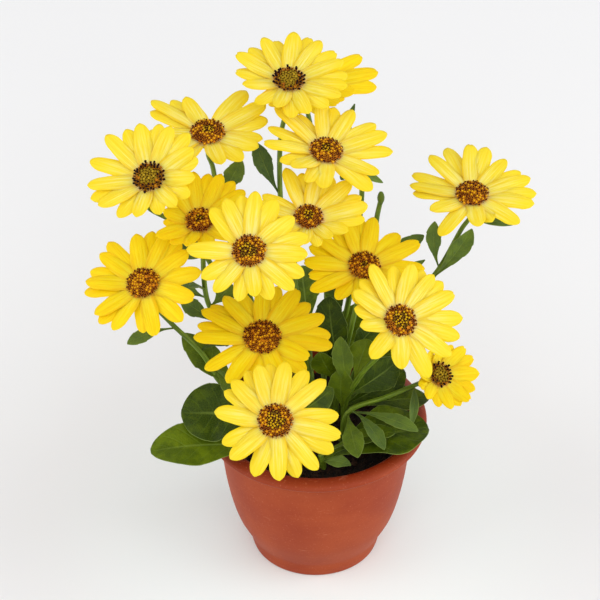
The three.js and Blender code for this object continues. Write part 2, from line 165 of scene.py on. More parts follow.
class Wire:
    # One socket of a shader. Sums and products of wires and numbers add Math nodes.
    def __init__(self, tree, socket=None):
        self.tree, self.socket = tree, socket

    def node(self, kind, settings, sockets, out=0):
        made = self.tree.nodes.new("ShaderNode" + kind)
        for key, value in settings.items():
            setattr(made, key, value)
        for key, value in sockets.items():
            if isinstance(value, Wire):
                self.tree.links.new(value.socket, made.inputs[key])
            else:
                made.inputs[key].default_value = value
        return Wire(self.tree, made.outputs[out])

    def math(self, operation, *others):
        return self.node("Math", {"operation": operation}, dict(enumerate((self, *others))))

    def __add__(self, other):
        return self.math("ADD", other)

    def __mul__(self, other):
        return self.math("MULTIPLY", other)

    def __sub__(self, other):
        return self.math("SUBTRACT", other)

    def __rsub__(self, other):
        return self.node("Math", {"operation": "SUBTRACT"}, {0: other, 1: self})

    __radd__ = __add__
    __rmul__ = __mul__

    def __abs__(self):
        return self.math("ABSOLUTE")

    def fraction(self):  # what is left above the whole number below
        return self.math("FRACT")

    def above(self, limit):  # 1 above the limit, otherwise 0
        return self.math("GREATER_THAN", limit)

    def between(self, low, high):  # 0 at low, 1 at high, a smooth S between
        return self.node("MapRange", {"interpolation_type": "SMOOTHSTEP"}, {0: self, 1: low, 2: high})

    def mix(self, a, b):  # colour a where this wire is 0 and b where it is 1
        return self.node("Mix", {"data_type": "RGBA"}, {0: self, 6: a, 7: b}, 2)

    def vector(self, x, y, z):
        return self.node("CombineXYZ", {}, {0: x, 1: y, 2: z})

    def length(self):
        return self.node("VectorMath", {"operation": "LENGTH"}, {0: self}, 1)

    def parts(self):  # the three numbers of a vector
        split = self.node("SeparateXYZ", {}, {0: self})
        return [Wire(self.tree, socket) for socket in split.socket.node.outputs]

    def noise(self, vector, scale, detail, roughness=0.55):
        return self.node("TexNoise", {}, {"Vector": vector, "Scale": scale, "Detail": detail,
                                          "Roughness": roughness})

    def bump(self, height, distance, strength):
        return self.node("Bump", {}, {"Height": height, "Distance": distance, "Strength": strength})


def colour(red, green, blue):  # a screen colour, 0 to 255, as the shader's own linear one
    c = np.array([red, green, blue]) / 255
    return (*np.where(c <= 0.04045, c / 12.92, ((c + 0.055) / 1.055) ** 2.4).tolist(), 1.0)


def newMaterial(name, constants, surface):
    # surface(wire, spot, place) gives base colour, roughness and normal; constants go on the sockets
    material = bpy.data.materials.new(name)
    material.use_nodes = True
    tree = material.node_tree
    shader = next(n for n in tree.nodes if n.type == "BSDF_PRINCIPLED")
    for key, value in constants.items():
        shader.inputs[key].default_value = value
    wire = Wire(tree)
    spot = wire.node("Attribute", {"attribute_name": "spot"}, {}, 1)
    place = wire.node("TexCoord", {}, {}, 3)
    for key, made in zip(("Base Color", "Roughness", "Normal"), surface(wire, spot, place)):
        tree.links.new(made.socket, shader.inputs[key])
    return material


# The plant's plan, in millimetres and degrees, as in the solids. ripe is the share of the disc, from
# its edge inwards, whose florets are open. A petal has a bearing and a reach, and a leaf its share of
# the way up the stalk, its tip, its width and the way it faces.
bloomKeys = ("tone", "at", "lean", "toward", "rise", "disc", "ripe", "root", "via", "rays", "leaves")
blooms = [dict(zip(bloomKeys, row), id=number) for number, row in enumerate([
    ["lemon", [-14, 43, 275], 13, -90, 4, 7.8, 0.3, [-6, 18],
     [[-10, 34, 110], [-16, 48, 160], [-19, 51, 200], [-18, 47, 240]],
     [[87, 31], [71, 32], [57, 31], [40, 31], [24, 31], [8, 31], [350, 31], [333, 30], [314, 28],
      [295, 27], [274, 27], [250, 22], [224, 25], [190, 25], [168, 29], [153, 32], [133, 31], [118, 31],
      [103, 29]],
     [[0.1, [-36, 40, 110], 16, [0, -0.6, 0.8]], [0.62, [-32, 50, 230], 10.5, [0.2, -1, 0.4]]]],
    ["gold", [-3, 74, 249], 10, -60, 0, 7.6, 0.5, [4, 24],
     [[6, 44, 115], [5, 64, 165], [-1, 76, 213]],
     [[72, 29], [46, 38], [29, 40], [20, 39], [8, 36], [351, 24], [334, 20], [314, 20], [286, 22],
      [250, 24], [215, 27], [180, 29], [146, 30], [108, 28]],
     [[0.1, [26, 42, 110], 16, [0, -0.6, 0.8]], [0.68, [20.5, 72, 239], 8, [0, -1, 0.3]]]],
    ["lemon", [-56, 20, 258], 10, -90, 0, 8.6, 0.6, [-12, 12],
     [[-24, 24, 110], [-42, 32, 165], [-51, 32, 205], [-54, 27, 232]],
     [[60, 39], [33, 36], [18, 33], [350, 29], [338, 29], [310, 27], [285, 25], [237, 33], [218, 31],
      [198, 30], [180, 31], [152, 35], [140, 38], [127, 31], [113, 27]],
     [[0.74, [-39, 24, 238], 11, [0, -1, 0.3]]]],
    ["lemon", [5, 8, 255], 14, -60, 4, 8.4, 0.62, [8, 12],
     [[12, 22, 110], [20, 26, 160], [23, 27, 195], [23, 25, 226], [14, 18, 241]],
     [[66, 32], [42, 34], [23, 34], [4, 35], [334, 31], [316, 34], [270, 28], [245, 25], [225, 24],
      [205, 26], [178, 33], [158, 33], [136, 38], [122, 28], [98, 35], [82, 31]],
     [[0.14, [24, 27, 141], 16, [-0.1, -1, 0.1]], [0.12, [-4, 25, 134], 16, [0.1, -1, 0.2]],
      [0.25, [7, 26, 166], 12, [0.1, -1, 0.1]], [0.85, [13, 24, 225], 4, [0, -1, 0.6]],
      [0.86, [35, 19, 227], 4.4, [0, -1, 0.6]]]],
    ["lemon", [-85, -21, 260], 30, -110, 6, 7.8, 0.35, [-18, 4],
     [[-30, 8, 105], [-48, 12, 160], [-62, 10, 194], [-74, 5, 212], [-87, -3, 228], [-86, -9, 241]],
     [[96, 30], [109, 30], [129, 33], [152, 33], [181, 32], [191, 32], [204, 30], [227, 27], [250, 24],
      [279, 23], [300, 24], [322, 25], [348, 25], [8, 27], [25, 27], [42, 31], [60, 29], [77, 30]],
     []],
    ["gold", [-60, -13, 226], 20, -100, 10, 7, 0.6, [-14, 2],
     [[-26, 2, 108], [-46, -1, 140], [-57, -5, 168], [-59, -3, 200]],
     [[94, 28], [80, 28], [65, 28], [50, 28], [30, 28], [8, 27], [345, 26], [320, 24], [290, 20],
      [252, 18], [222, 21], [203, 25], [180, 19], [160, 20], [140, 24], [124, 26], [109, 28]],
     [[0.66, [-72, 4, 172], 10, [-0.2, -1, 0.7]], [0.52, [-71, 2, 163], 10, [0, -1, 0.4]],
      [0.7, [-66, -14, 184], 7, [-0.5, -0.6, 0.7]], [0.62, [-44, -3, 177], 12, [0.2, -1, 0.5]],
      [0.82, [-74, -8, 206], 8, [0, -0.7, 0.8]]]],
    ["lemon", [-4, -22, 235], 18, -70, 6, 7.2, 0.55, [2, 6],
     [[-4, 8, 110], [-10, 5, 160], [-11, 4, 195], [-7, -8, 214]],
     [[116, 31], [98, 27], [84, 28], [68, 29], [45, 31], [29, 31], [14, 31], [0, 29], [338, 22],
      [310, 18], [283, 19], [260, 19], [236, 22], [212, 25], [190, 28], [172, 30], [154, 27]],
     [[0.14, [-20, 16, 134], 16, [-0.2, -1, 0.6]]]],
    ["lemon", [-34, -59, 242], 35, -95, 0, 8.3, 0.45, [-4, -2],
     [[-10, 4, 110], [-20, 11, 150], [-27, 9, 180], [-28, -10, 202], [-29, -30, 216], [-32, -46, 227]],
     [[83, 32], [96, 31], [110, 31], [128, 31], [175, 32], [206, 28], [229, 28], [254, 27], [272, 25],
      [292, 28], [316, 31], [334, 31], [353, 30], [14, 31], [38, 29], [62, 31]],
     []],
    ["lemon", [81, 11, 225], 10, -90, 0, 8.4, 1.0, [14, 14],
     [[24, 18, 108], [44, 18, 140], [64, 17, 170], [77, 13, 203]],
     [[106, 39], [92, 36], [77, 37], [53, 30], [35, 31], [20, 33], [1, 34], [352, 33], [318, 32],
      [297, 22], [274, 24], [240, 33], [212, 26], [179, 31], [170, 33], [152, 35], [127, 35]],
     [[0.16, [50, 18, 118], 16, [-0.1, -1, 0.8]], [0.68, [62, 14, 205], 9, [-0.3, -1, 0.3]],
      [0.62, [81.5, 10, 203], 12, [0.3, -1, 0.3]], [0.92, [103, 12, 205], 5, [0, -0.6, 1]]]],
    ["gold", [-89, -32, 200], 28, -115, 0, 8.3, 1.0, [-20, -6],
     [[-32, -9, 98], [-50, -10.5, 116], [-60, -15, 140.3], [-76, -20, 165], [-84, -21, 177]],
     [[93, 29], [77, 31], [58, 31], [44, 30], [30, 29], [5, 31], [334, 30], [307, 31], [277, 32],
      [263, 28], [233, 30], [216, 31], [204, 30], [176, 32], [165, 31], [152, 31], [135, 30],
      [120, 33]],
     [[0.56, [-43, -14, 157], 13, [0, -1, 0.6]], [0.72, [-98, -36, 164], 8.4, [-0.2, -0.6, 1]],
      [0.46, [-40, -28, 124], 12, [0, -1, 1]], [0.2, [-70, -7, 147], 16, [0, -1, 0.6]]]],
    ["gold", [25, -11, 195], 22, -80, 0, 8, 0.75, [10, 8],
     [[14, 9, 110], [20, 3, 150]],
     [[80, 30], [93, 29], [108, 29], [126, 28], [148, 30], [163, 31], [177, 32], [194, 30], [211, 33],
      [238, 25], [262, 24], [286, 24], [310, 25], [334, 28], [4, 32], [27, 33], [46, 28]],
     [[0.28, [7, 10, 158], 20, [-0.3, -1, 0.3]], [0.36, [33, 10, 141], 15, [0.3, -1, 0.4]],
      [0.2, [2, 3, 126], 16, [-0.4, -1, 0.6]]]],
    ["gold", [-28, -33, 165], 22, -90, 0, 9.6, 1.0, [-10, -10],
     [[-14, -12, 100], [-24, -22, 138]],
     [[112, 31], [127, 32], [141, 34], [155, 36], [168, 35], [182, 36], [210, 35], [235, 33], [262, 30],
      [290, 29], [318, 31], [335, 28], [354, 37], [6, 36], [22, 35], [40, 33], [57, 34], [73, 33],
      [91, 32]],
     [[0.18, [9, -15, 116], 14, [-0.3, -1, 0.5]]]],
    ["lemon", [43, -50, 190], 40, -70, 0, 8.2, 0.42, [15, 2],
     [[16, -1, 95], [24, -14, 125], [34, -33, 155], [40, -42, 174]],
     [[126, 33], [146, 30], [160, 29], [176, 25], [204, 22], [246, 26], [283, 26], [308, 33], [340, 32],
      [359, 33], [15, 34], [37, 33], [54, 32], [65, 31], [76, 31], [90, 31], [108, 30]],
     [[0.08, [14, -6, 122], 14, [-0.2, -1, 0.2]], [0.12, [48, 11, 107], 19, [0, -1, 0.1]],
      [0.2, [44, 11, 114], 20, [-0.1, -1, 0.1]], [0.1, [61, 9, 90], 16, [0, -0.3, 1]],
      [0.18, [13, -4, 142], 12, [-0.2, -1, 0.3]], [0.3, [28, 2, 136], 16, [-0.4, -1, 0.5]]]],
    ["lemon", [-21, -80, 148], 38, -90, 0, 8.8, 0.45, [-4, -26],
     [[-6, -30, 92], [-14, -48, 116], [-20, -66, 134]],
     [[81, 32], [95, 31], [108, 31], [121, 31], [136, 31], [152, 31], [174, 32], [204, 30], [220, 31],
      [252, 31], [276, 32], [291, 32], [311, 34], [331, 34], [349, 35], [8, 33], [40, 34], [60, 32]],
     []],
    ["gold", [66, 4, 110], 45, -50, 14, 6, 0.25, [14, -8],
     [[18, -7, 94], [38, -3.5, 101], [52, 4, 102.4]],
     [[0, 21], [24, 22], [48, 22], [70, 21], [92, 18], [116, 16], [140, 14], [164, 13], [188, 13],
      [212, 14], [236, 16], [258, 18], [280, 19], [300, 20], [320, 20], [340, 21]],
     [[0.22, [54, -32, 101.8], 9, [0.1, -0.3, 1]], [0.2, [22, -48, 97], 12, [-0.2, -0.2, 1]],
      [0.24, [36, -46, 101], 9, [0.1, -0.2, 1]], [0.72, [51, -22, 96.4], 5, [0, -1, 0.2]]]],
], 1)]
shoots = [
    {"id": "front", "root": [4, -31], "thick": 1.7,
     "via": [[3.5, -31.5, 80.5], [2.5, -31, 84]],
     "leaves": [[0.6, [60, -19, 93.2], 38, [0, -0.03, 1]], [0.97, [42, -27, 96.5], 15, [0, 0, 1]],
                [0.4, [18.5, -40, 84.5], 8, [0, -0.3, 1]]]},
    {"id": "left", "root": [-19, -29], "thick": 1.8,
     "via": [[-22, -32, 83], [-26, -26, 92], [-28, -18, 100]],
     "leaves": [[0.4, [-87, -44, 97.5], 27, [0, -0.3, 1]],
                [0.97, [-71, -29, 111], 32, [-0.1, -0.8, 0.9]]]},
    {"id": "back", "root": [-2, 34], "thick": 1.8,
     "via": [[-3, 42, 88], [-4, 50, 104]],
     "leaves": [[0.6, [-44, 62, 100], 20, [0, 0.3, 1]], [0.75, [38, 66, 104], 22, [0, 0.3, 1]],
                [0.97, [-8, 92, 116], 20, [0, -0.3, 1]]]},
    {"id": "spent", "root": [20, 22], "thick": 1.6, "knob": True,
     "via": [[27, 30, 120], [31, 31, 170], [32, 27, 197], [34, 22, 214]],
     "leaves": [[0.62, [57, 30, 184], 9, [0, -1, 0.8]], [0.5, [58, 32, 166], 7, [0, -1, 0.6]]]},
]
soilLevel = 74.5
hubRadius = 6.8  # where the petals leave the receptacle


def bloomAxes(bloom):  # the bloom's two axes in the plane of its petals, and its normal
    lean, toward = radians(bloom["lean"]), radians(bloom["toward"])
    normal = np.array([sin(lean) * cos(toward), sin(lean) * sin(toward), cos(lean)])
    across = unit(np.cross([0, 1, 0], normal))
    return np.stack([across, np.cross(normal, across), normal])


def onBloom(bloom, x, y, w):  # points at x, y in the plane of the petals and w above it
    return np.array(bloom["at"], float) + together(x, y, w) @ bloomAxes(bloom)


def rings(bloom, profile, sides):  # circles round the bloom's normal: radius and height of each
    r, w = columnsOf(profile)
    return onBloom(bloom, r * np.cos(bearings(sides)), r * np.sin(bearings(sides)), w)


labelled = [(f"{bloom['id']:02d}", bloom) for bloom in blooms]

# Petals, in millimetres; claw, taper and narrow are shares of the full width
petal = {"rows": 20, "columns": 15, "start": 4.4, "half": 4.75, "thick": 0.34, "lowLevel": -0.6,
         "highLevel": 0.3, "claw": 0.62, "taper": 0.12, "bendLength": 25, "shortReach": 20,
         "narrow": 0.8, "point": 1.5, "notch": 0.5, "sway": 2.8, "bow": 1.3, "curl": 3, "tilt": 0.12,
         "twist": 0.3, "furrow": 0.2, "turnDown": 0.7, "ruffle": 0.12,
         "bloomSteps": (31, 57, 83, 17, 43, 71)}


def petalSurface(palette):
    # A pale claw, pinkish at its very base, runs into a clear body with a deeper tip and margin. Noise
    # drawn out along the petal gives pale streaks where it is high, part vein colour and part painted
    # highlight on the ridges, and golden ones where it is low, part vein colour and part painted shade;
    # the creases beside the claw get painted shade, golden too. A petal with a high third number of
    # spot
    # is deeper all over: a random tone, plus painted shade on the lower rank, which lies under the
    # upper.
    # The streaks also lift the roughness and the bump.
    def surface(wire, spot, place):
        along, across, tone = spot.parts()
        side = abs(across)
        broad = wire.noise(wire.vector(along * 1.6, across * 2.4, tone * 61), 1.0, 2)
        fine = wire.noise(wire.vector(along * 1.2, across * 5, tone * 37), 1.0, 3, 0.65)
        deep = along.between(0.5, 1.0) * 0.55 + side.between(0.72, 0.98) * 0.45 + (broad - 0.5) * 1.6
        body = deep.mix(palette["light"], palette["deep"])
        claw = ((1 - along.between(0.05, 0.5)) * 0.7).mix(body, palette["claw"])
        # golden streaks where the noise is low: part vein colour, part painted shade in the furrows
        golden = ((1 - fine.between(0.3, 0.52)) * 0.5).mix(claw, palette["warm"])
        # pale streaks where the noise is high: part vein colour, part painted highlight on the ridges
        streaks = fine.between(0.48, 0.64) * (1 - along.between(0.4, 1.0)) * 0.48
        pale = streaks.mix(golden, palette["vein"])
        # painted shade: golden creases beside the claw, where the petals overlap and shade each other
        creaseShade = side.between(0.45, 1.0) * (1 - along.between(0.3, 0.85)) * 0.6
        creaseShaded = creaseShade.mix(pale, palette["warm"])
        # painted shade: a higher third number, as on the lower rank under the upper one, deepens the
        # petal
        shaded = (tone.between(0.3, 1.0) * 0.5).mix(creaseShaded, palette["deep"])
        base = ((1 - along.between(0.05, 0.24)) * 0.75).mix(shaded, palette["throat"])
        return base, fine * 0.18 + 0.45, wire.bump(fine * 0.7 + broad * 0.3, 0.0006, 0.6)
    return surface


petalPalettes = {
    "lemon": {"light": colour(244, 217, 58), "deep": colour(244, 206, 8), "warm": colour(238, 186, 0),
              "vein": colour(252, 238, 150), "claw": colour(253, 233, 108),
              "throat": colour(252, 204, 156), "glow": (1, 0.85, 0.15), "gloss": 0.22},
    "gold": {"light": colour(249, 214, 0), "deep": colour(247, 198, 0), "warm": colour(234, 172, 0),
             "vein": colour(252, 228, 62), "claw": colour(252, 224, 60),
             "throat": colour(240, 174, 90), "glow": (1, 0.8, 0.1), "gloss": 0.2},
}
petalMaterials = {}
for tone, palette in petalPalettes.items():
    petalMaterials[tone] = newMaterial(
        "petal" + tone.capitalize(),
        {"Subsurface Weight": 0.3, "Subsurface Radius": palette["glow"], "Subsurface Scale": 0.0014,
         "Specular IOR Level": palette["gloss"]}, petalSurface(palette))


def petalShells(bloom):
    # Each petal is a sheet over its length s and width t: narrow at its claw, widest past the middle,
    # tapering to a round or lightly notched point. Ranks alternate in height, and every petal tilts,
    # bends and curls a little, with two furrows along it and margins that turn down.
    bearing, reach = columnsOf(sorted(bloom["rays"]))[..., None]
    index = np.arange(len(bearing))[:, None, None]
    seed, bend, curl, tone, lobe, roll = (hashOf(bloom["id"] * step + index * (2 * k + 1))
                                          for k, step in enumerate(petal["bloomSteps"]))
    s = np.linspace(0, 1, petal["rows"])[None, :, None]
    t = np.sin(np.linspace(-pi / 2, pi / 2, petal["columns"]))[None, None, :]
    narrow = np.where(reach < petal["shortReach"], petal["narrow"], 1)
    half = petal["half"] * (0.9 + 0.2 * seed) * narrow
    width = (half * (petal["claw"] + (1 - petal["claw"]) * ramp(s, -0.1, 0.55))
             * (1 - petal["taper"] * ramp(s, 0.6, 1.1)))
    notches = (bell(np.abs(t), 0.33, 0.13) * ramp(lobe, 0.2, 0.9)
               + 1.6 * bell(t, 0, 0.16) * ramp(lobe, 0.3, 0.1)) * petal["notch"]
    roundness = (1 - np.abs(0.99 * t) ** 1.9) ** 0.6
    end = reach * 0.995 - half * petal["point"] * (1 - roundness) - notches
    r = petal["start"] + (end - petal["start"]) * s
    aside = width * t + (bend - 0.5) * petal["sway"] * s ** 2
    far = np.maximum(r - hubRadius, 0) / petal["bendLength"]
    odd = index % 2 == 1
    level = np.where(odd, petal["highLevel"] + seed * far ** 2,
                     petal["lowLevel"] - (0.3 + 0.9 * seed) * far ** 2)
    rise = np.maximum(0, r - bloom["disc"]) * tan(radians(bloom["rise"]))
    bow = rise + petal["bow"] * np.sin(2.4 * far)
    furrows = bell(np.abs(t), 0.36, 0.16) * petal["furrow"] * np.sin(pi * np.minimum(s * 1.05, 1))
    tilt = petal["tilt"] + (roll - 0.5) * petal["twist"] * ramp(s, 0.2, 0.8)
    w = (level + bow + tilt * width * t * ramp(s, 0, 0.3) - furrows
         - petal["turnDown"] * t ** 2 * ramp(s, 0.1, 0.6)
         + (curl - 0.45) * petal["curl"] * ramp(s, 0.55, 1.25) ** 2
         + petal["ruffle"] * np.sin(9 * s + 6 * seed) * np.sign(t) * t ** 2)
    x, y = turned(r, aside, np.radians(bearing))
    thin = petal["thick"] * (1 - 0.55 * t ** 2) * (1 - 0.45 * s)
    # The lower rank gets the higher third number: painted shade, as it lies under the upper rank.
    spot = together(s, t, np.where(odd, 0.5 * tone, 0.3 + 0.5 * tone))  # the lower rank is deeper
    return shells(onBloom(bloom, x, y, w), onBloom(bloom, x, y, w - thin), np.stack([spot, spot], 1))


hub = {"sides": 24, "profile": [[0.5, 0.25], [4.4, 0.25], [5.4, -0.1], [5.4, -0.9], [4.4, -1.25],
                                [0.5, -1.25]]}
for label, bloom in labelled:
    material = petalMaterials[bloom["tone"]]
    receptacle = lathe(rings(bloom, hub["profile"], hub["sides"]), [0, 0, 0.5])
    addPiece("petals_" + label, "rays_" + label, "petal_" + bloom["tone"],
             [(material, petalShells(bloom)), (material, receptacle)])
print("petals:", sum(len(b["rays"]) for b in blooms))

# Florets of the disc; turn is the sunflower angle in degrees, perArea counts them per square millimetre
floret = {"perArea": 0.52, "turn": 137.508, "margin": 0.5, "foot": 1.15, "dome": 2.0, "hollow": 0.9,
          "splay": 0.95, "stray": 0.35, "fringe": 44, "domeSides": 40, "youngest": 0.4}


def discSurface(palette):
    # The second number of spot tells buds, corollas, anthers, fringe and ground apart; the first runs
    # up each of them and the third is a draw for each floret. A low draw gives a bud a dark tip, a
    # corolla a wilted brown and an anther no pollen.
    def surface(wire, spot, place):
        up, kind, tone = spot.parts()
        mottle = wire.noise(place, 2200, 2)
        dark = tone.math("LESS_THAN", palette["darkShare"])
        bud = (up.between(0.78, 0.88) * dark).mix(
            up.between(0.3, 0.75).mix(palette["ground"], palette["bud"]), palette["budTip"])
        wilted = mottle.between(0.35, 0.65) * 0.7 + (1 - tone.between(0.0, 0.6)) * 0.4
        lobe = wilted.mix(palette["lobe"], palette["spent"])
        corolla = up.between(0.55, 0.85).mix(palette["tube"], lobe)
        anther = (up.between(0.45, 0.6) * (1 - dark)).mix(palette["anther"], palette["pollen"])
        fringe = up.between(0.1, 0.8).mix(palette["fringe"], palette["fringeTip"])
        base = bud
        for number, part in enumerate((corolla, anther, fringe, palette["ground"])):
            base = kind.above(number + 0.5).mix(base, part)
        return base, mottle * 0.25 + 0.5, wire.bump(mottle, 0.0002, 0.5)
    return surface


mature = {"bud": colour(204, 160, 14), "budTip": colour(24, 6, 2), "tube": colour(92, 24, 8),
          "lobe": colour(226, 148, 18), "spent": colour(142, 60, 10), "anther": colour(52, 8, 5),
          "pollen": colour(234, 178, 22), "fringe": colour(112, 26, 10),
          "fringeTip": colour(158, 80, 40), "ground": colour(70, 20, 8), "darkShare": 0.45}
unripe = dict(mature, bud=colour(182, 150, 34), budTip=colour(146, 116, 18), tube=colour(100, 38, 10),
              lobe=colour(220, 146, 22), spent=colour(124, 54, 10), anther=colour(28, 4, 6),
              ground=colour(108, 80, 12), darkShare=0.85)
discMaterials = {slotName: newMaterial(name, {"Specular IOR Level": 0.12}, discSurface(palette))
                 for slotName, name, palette in (("disc_ripe", "floretsRipe", mature),
                                                 ("disc_young", "floretsYoung", unripe))}


def lobed(profile, lobes, sides):  # unit floret part: radius, height and depth of its lobes per ring
    r, w, deep = columnsOf(profile)
    a = bearings(sides)
    return around(r * (1 + deep * np.cos(lobes * a)), w, a)


budShape = lobed([[0.34, 0, 0], [0.62, 0.45, 0], [0.6, 0.8, 0.08], [0.36, 1.06, 0.12],
                  [0.08, 1.16, 0]], 5, 10)
corollaShape = lobed([[0.3, 0, 0], [0.42, 0.6, 0], [0.6, 0.85, 0.12], [0.82, 1.0, 0.3],
                      [0.6, 1.0, 0.2], [0.3, 0.8, 0]], 5, 10)
antherShape = lobed([[0.26, 0.6, 0], [0.34, 1.1, 0], [0.38, 1.32, 0.06], [0.26, 1.5, 0.1],
                     [0.06, 1.56, 0]], 5, 8)
fringeShape = lobed([[0.2, 0, 0], [0.18, 1.0, 0], [0.04, 2.1, 0]], 5, 4)


def planted(bloom, shape, kind, *placing):
    # Copies of a unit part, turned, scaled, leaning away from the middle, at x, y, w on the bloom
    x, y, w, lean, turn, size, tone = (number[:, None, None] for number in placing)
    px, py = (v * size for v in turned(shape[..., 0], shape[..., 1], turn))
    az, ax = turned(shape[..., 2] * size, px, lean)
    bx, by = turned(ax, py, np.arctan2(y, x))
    height = (shape[..., 2] - shape[..., 2].min()) / np.ptp(shape[..., 2])
    return tufts(onBloom(bloom, bx + x, by + y, az + w), shape, together(height, kind, tone))


def discParts(bloom):
    # Florets sit on a low dome in a sunflower spiral: the k-th at the root of k, turned by 137.5
    # degrees. Those in the ripe share are open and the others buds. A dome that is less than half ripe
    # is sunken in the middle, and the anthers of a young disc stand high.
    disc, ripe = bloom["disc"] - floret["margin"], bloom["ripe"]
    young = ripe < floret["youngest"]
    count = int(disc ** 2 * pi * floret["perArea"])
    k = np.arange(count)
    share = np.sqrt((k + 0.5) / count)
    a = k * radians(floret["turn"])
    sunk = floret["hollow"] * (ripe < 0.5)

    def domeAt(u):  # a flattened half ellipse over the share u of the radius, less a bell in the middle
        return (floret["foot"] + floret["dome"] * np.sqrt(1 - (0.97 * u) ** 2)
                - sunk * bell(u, 0, 0.55))

    x, y, w = disc * share * np.cos(a), disc * share * np.sin(a), domeAt(share) - 0.3
    wander = draw.random((3, count))
    lean = share ** 2.5 * floret["splay"] + (wander[0] - 0.5) * floret["stray"]
    opened = share > 1 - ripe + (wander[0] - 0.5) * 0.12
    size = (0.9 + 0.3 * wander[1]) * np.where(opened, 1.0, 1.0 if young else 0.72 + 0.4 * share)
    tall = size * (1.5 if young else 1.0)
    shade = wander[1] * (1 - 0.5 * share ** 3)
    standing = opened & (wander[2] > (0.2 if young else 0.1))
    parts = []
    for shape, kind, big, which in ((budShape, 0, size, ~opened), (corollaShape, 1, size, opened),
                                    (antherShape, 2, tall, standing)):
        if which.any():
            placing = (v[which] for v in (x, y, w, lean, 6 * wander[2], big, shade))
            parts.append(planted(bloom, shape, kind, *placing))
    b = bearings(floret["fringe"]) + 0.05 * draw.random(floret["fringe"])
    jitter = draw.random((2, floret["fringe"]))
    edge = disc * 0.97
    parts.append(planted(bloom, fringeShape, 3, edge * np.cos(b), edge * np.sin(b),
                         np.full(len(b), floret["foot"]), 0.85 + 0.5 * jitter[0], b,
                         0.65 + 0.4 * jitter[1], jitter[0]))
    u = np.linspace(0.98, 0.02, 9)
    dome = [[disc * 0.6, 0.6], [disc * 0.93, 0.7], *([disc * v, domeAt(v) - 0.35] for v in u)]
    parts.append(lathe(rings(bloom, dome, floret["domeSides"]), [0.5, 4, 0.5]))
    return parts


for label, bloom in labelled:
    slotName = "disc_young" if bloom["ripe"] < floret["youngest"] else "disc_ripe"
    addPiece("florets_" + label, "disc_" + label, slotName,
             [(discMaterials[slotName], part) for part in discParts(bloom)])
print("florets placed")

# Stalks and leaves
stalk = {"sides": 12, "step": 3.0, "foot": 66, "ridge": 0.05, "thick": 1.6, "thinner": 0.4,
         "shootThinner": 0.3, "marks": 100, "arrive": (-16, -5)}
blade = {"rows": 44, "columns": 15, "thick": 0.5, "rib": 0.55, "arch": 0.07, "fold": 0.15, "wave": 0.09,
         "droop": 0.03, "sway": 0.05, "petiole": 0.09, "veins": 7.5, "veinSlope": 1.7, "teeth": 0.1,
         "fineTeeth": 0.02, "small": 8, "broad": 16, "large": 22,
         "outlines": {"small": (1.3, 1.1, 0.9), "medium": (2.1, 1.4, 0.75), "broad": (1.75, 1.0, 0.6)}}


def stalkSurface(wire, spot, place):
    # Fresh green with paler lengthwise streaks and a darker, browner foot; fine hairs as bump
    along, across, tone = spot.parts()
    streak = wire.noise(wire.vector(along * 9, across * 5, tone * 50), 1.0, 2)
    speck = wire.noise(place, 1500, 2)
    body = streak.between(0.35, 0.7).mix(colour(78, 100, 8), colour(120, 146, 38))
    base = ((1 - along.between(0.0, 0.4)) * 0.5).mix(body, colour(60, 78, 4))
    return base, streak * 0.15 + 0.45, wire.bump(speck * 0.5 + streak * 0.5, 0.0004, 0.5)


def leafSurface(wire, spot, place):
    # Dark green mottled with yellow-green, a pale midrib with faint side veins at regular steps, a pale
    # margin 0.5 mm wide, and a grey-green underside; small leaves are paler and greyer. The veins and
    # fine cells give the bump. spot's third number: a draw, plus 1 below, plus twice the width in mm.
    along, across, tone = spot.parts()
    chance = tone.fraction()
    under = (tone * 0.5).fraction().above(0.5)
    wide = tone * 0.5
    side = abs(across)
    slant = along * blade["veins"] - side * blade["veinSlope"]
    step = (slant + chance * 5).fraction() - 0.5
    vein = (1 - abs(step).between(0.02, 0.1)) * (1 - side.between(0.7, 0.98))
    rib = 1 - side.between(0.015, 0.07)
    mottle = wire.noise(place, 150, 4)
    cells = wire.node("TexVoronoi", {"feature": "DISTANCE_TO_EDGE"}, {"Vector": place, "Scale": 900})
    net = 1 - cells.between(0.0, 0.22)
    bright = mottle.between(0.34, 0.7) * 0.5 + (chance - 0.42) * 0.9
    top = bright.mix(colour(42, 60, 0), colour(102, 122, 4))
    lower = mottle.between(0.3, 0.7).mix(colour(92, 114, 40), colour(124, 142, 74))
    small = 1 - wide.between(6.0, 17.0)
    greyed = (small * 0.4).mix(top, colour(108, 138, 84))
    faced = under.mix(greyed, lower)
    veined = (vein * 0.1 + net * 0.1).mix(faced, colour(112, 138, 34))
    ribbed = (rib * 0.5 * (1 - along.between(0.4, 1.0) * 0.8)).mix(veined, colour(132, 154, 66))
    inset = (1 - side) * wide * 0.5
    margined = ((1 - inset.between(0.1, 0.55)) * 0.6).mix(ribbed, colour(140, 160, 80))
    height = mottle * 0.3 - net * 0.12 - vein * 0.3 - rib * 0.4
    return margined, mottle * 0.2 + 0.36 + under * 0.15, wire.bump(height, 0.0007, 0.6)


stalkMaterial = newMaterial("stalkGreen", {"Specular IOR Level": 0.3}, stalkSurface)
leafMaterial = newMaterial("leafGreen", {"Specular IOR Level": 0.16}, leafSurface)


